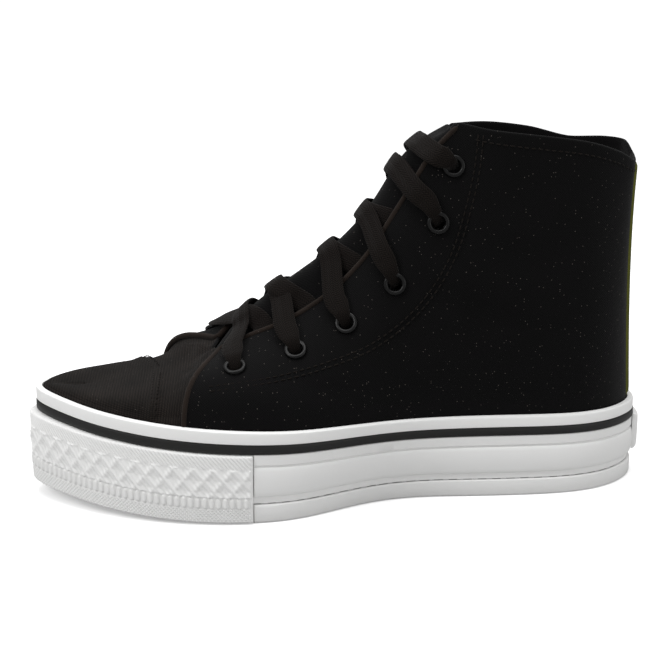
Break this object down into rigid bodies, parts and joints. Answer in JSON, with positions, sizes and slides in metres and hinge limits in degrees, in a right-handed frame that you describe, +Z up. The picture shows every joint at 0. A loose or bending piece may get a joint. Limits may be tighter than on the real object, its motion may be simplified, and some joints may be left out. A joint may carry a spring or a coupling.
{
  "type": "high top sneaker",
  "caption": "Left high top canvas sneaker on a thick vulcanised rubber sole with a textured toe bumper, flat laces through metal eyelets and an open collar.",
  "frame": {"origin": "centre of the shoe's bounding box in plan, at the floor under the sole", "axes": "toe towards -X, heel towards +X, outer side of the left foot towards -Y, inner side towards +Y, +Z up"},
  "size_m": [0.2636, 0.0984, 0.1563],
  "materials": {
    "black_canvas": "black ribbed cotton canvas",
    "black_rubber": "matte vulcanised rubber",
    "eyelet_metal": "black enamelled brass",
    "insole_cloth": "dark cotton drill",
    "lace_cloth": "flat woven cotton",
    "stay_tape": "woven tape",
    "white_rubber": "matte vulcanised rubber"
  },
  "bodies": {
    "root": {"outsole": "white_rubber", "midsole": "white_rubber", "foxing_stripe": "black_rubber", "toe_bumper": "white_rubber", "heel_label": "white_rubber", "insole": "insole_cloth", "upper": "black_canvas", "tongue": "black_canvas", "heel_stay": "stay_tape", "eyelet_outer_1": "eyelet_metal", "eyelet_outer_2": "eyelet_metal", "eyelet_outer_3": "eyelet_metal", "eyelet_outer_4": "eyelet_metal", "eyelet_outer_5": "eyelet_metal", "eyelet_outer_6": "eyelet_metal", "eyelet_inner_1": "eyelet_metal", "eyelet_inner_2": "eyelet_metal", "eyelet_inner_3": "eyelet_metal", "eyelet_inner_4": "eyelet_metal", "eyelet_inner_5": "eyelet_metal", "eyelet_inner_6": "eyelet_metal", "lace_1": "lace_cloth", "lace_2": "lace_cloth", "lace_3": "lace_cloth", "lace_4": "lace_cloth", "lace_5": "lace_cloth", "lace_6": "lace_cloth"}
  },
  "joints": []
}
